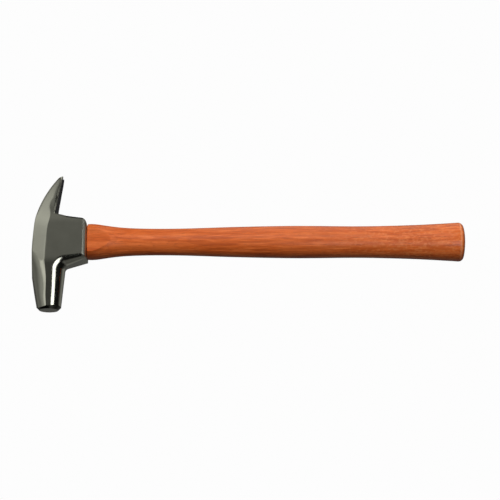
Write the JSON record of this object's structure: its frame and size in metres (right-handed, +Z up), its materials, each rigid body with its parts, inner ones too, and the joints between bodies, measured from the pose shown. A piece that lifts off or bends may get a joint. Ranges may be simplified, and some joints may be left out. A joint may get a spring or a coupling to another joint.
{
  "type": "claw hammer",
  "caption": "Small claw hammer: polished steel head with a tapered poll and a slotted claw, wedged on a swelled oval wooden handle.",
  "frame": {"origin": "middle of the hammer's footprint on the surface it lies on, with one cheek of the head resting on that surface", "axes": "+X along the handle from the head to the butt, +Y from the striking face to the claws, +Z up, square to the cheeks"},
  "size_m": [0.3302, 0.1046, 0.024],
  "materials": {
    "head_steel": "ground and polished forged steel, clear lacquer",
    "handle_wood": "orange-stained hickory, clear lacquer",
    "wedge_wood": "bare sawn hardwood",
    "wedge_steel": "plain steel"
  },
  "bodies": {
    "root": {"head": "head_steel", "handle": "handle_wood", "wood_wedge": "wedge_wood", "steel_wedge_claw_side": "wedge_steel", "steel_wedge_poll_side": "wedge_steel"}
  },
  "joints": []
}
